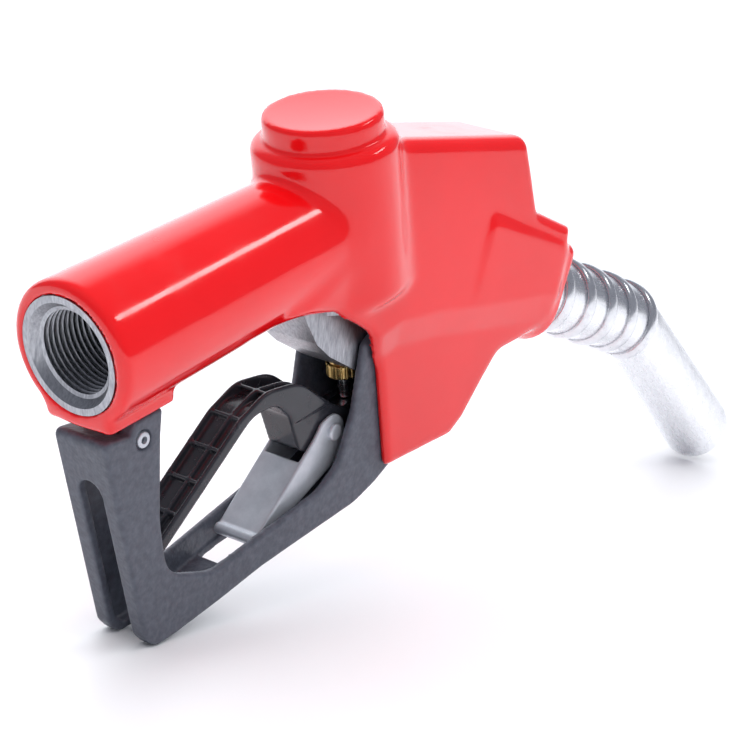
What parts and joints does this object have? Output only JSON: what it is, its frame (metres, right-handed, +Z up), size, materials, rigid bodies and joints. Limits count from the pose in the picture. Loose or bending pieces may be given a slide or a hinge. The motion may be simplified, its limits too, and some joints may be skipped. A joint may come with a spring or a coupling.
{
  "type": "fuel nozzle",
  "caption": "Automatic shut-off fuel nozzle with a vinyl-covered body, trigger lever with hold-open latch, lever guard and bent spout with an anchor coil.",
  "frame": {"origin": "on the axis of the threaded hose inlet, at its first full thread", "axes": "+Z up when the nozzle stands on its guard heel and spout tip, +X towards the spout, +Y to its left"},
  "size_m": [0.3298, 0.0428, 0.1479],
  "materials": {
    "vinyl_cover": "gloss red dipped vinyl",
    "cast_aluminium": "as-cast, fine sandy grain",
    "machined_aluminium": "turned",
    "spout_aluminium": "satin, drawn tube",
    "zinc_steel": "zinc plated",
    "spring_steel": "drawn wire",
    "stainless_steel": "ground",
    "brass": "turned",
    "guard_plastic": "fine leather grain",
    "lever_plastic": "gloss moulded",
    "acetal": "natural",
    "rubber": "nitrile"
  },
  "bodies": {
    "nozzle_body": {"valve_body": "cast_aluminium", "grip_cover": "vinyl_cover", "main_cap": "machined_aluminium", "cap_o_ring": "rubber", "main_spring": "spring_steel", "seat_ring": "stainless_steel", "stem_packing": "acetal", "packing_nut": "brass", "diaphragm_cover": "machined_aluminium", "diaphragm_cover_screws": "zinc_steel", "diaphragm": "rubber", "diaphragm_spring": "spring_steel", "latch_ring": "stainless_steel", "lever_guard": "guard_plastic", "guard_rear_screw": "zinc_steel", "guard_front_screws": "zinc_steel", "spout_adapter": "machined_aluminium", "spout_collar": "machined_aluminium", "spout_o_ring": "rubber", "check_seat": "stainless_steel", "check_guide": "acetal", "check_spring": "spring_steel", "spout_tube": "spout_aluminium", "anchor_spring": "zinc_steel", "vent_tube": "stainless_steel"},
    "main_valve": {"main_poppet": "machined_aluminium", "poppet_disc": "rubber", "poppet_retainer": "brass", "valve_stem": "stainless_steel"},
    "plunger": {"latch_plunger": "stainless_steel", "latch_balls": "stainless_steel", "lever_pivot_pin": "zinc_steel", "pivot_pin_clip": "zinc_steel"},
    "lever": {"operating_lever": "lever_plastic", "lever_wear_pad": "stainless_steel"},
    "latch": {"hold_open_latch": "zinc_steel", "latch_rivet": "zinc_steel"},
    "vacuum_pin": {"latch_pin": "stainless_steel", "diaphragm_plate": "stainless_steel"},
    "check_valve": {"check_poppet": "acetal"}
  },
  "joints": [
    {"name": "plunger_slide", "type": "slide", "parent": "nozzle_body", "child": "plunger", "axis": [-0.0785, 0, -0.9969], "range_m": [0, 0.005], "stiffness_N_per_m": 800, "springref_m": -0.004},
    {"name": "lever_hinge", "type": "hinge", "parent": "plunger", "child": "lever", "pos_m": [0.13624, 0, -0.02809], "axis": [0, 1, 0], "range_deg": [0, 12], "stiffness_Nm_per_rad": 1.2, "springref_deg": -11.46},
    {"name": "latch_hinge", "type": "hinge", "parent": "lever", "child": "latch", "pos_m": [0.09981, 0, -0.03783], "axis": [0, 1, 0], "range_deg": [-6, 20], "stiffness_Nm_per_rad": 0.3},
    {"name": "main_valve_slide", "type": "slide", "parent": "nozzle_body", "child": "main_valve", "axis": [-0.2402, 0, 0.9707], "range_m": [0, 0.005], "deforming": ["main_spring"]},
    {"name": "vacuum_pin_slide", "type": "slide", "parent": "nozzle_body", "child": "vacuum_pin", "axis": [0.0785, 0, 0.9969], "range_m": [0, 0.002], "stiffness_N_per_m": 600, "springref_m": -0.003, "deforming": ["diaphragm_spring"]},
    {"name": "check_valve_slide", "type": "slide", "parent": "nozzle_body", "child": "check_valve", "axis": [0.9505, 0, -0.3107], "range_m": [0, 0.004], "stiffness_N_per_m": 300, "springref_m": -0.003, "deforming": ["check_spring"]}
  ],
  "couplings": [
    {"joint": "main_valve_slide", "follows": "lever_hinge", "m_per_rad": 0.0238}
  ]
}
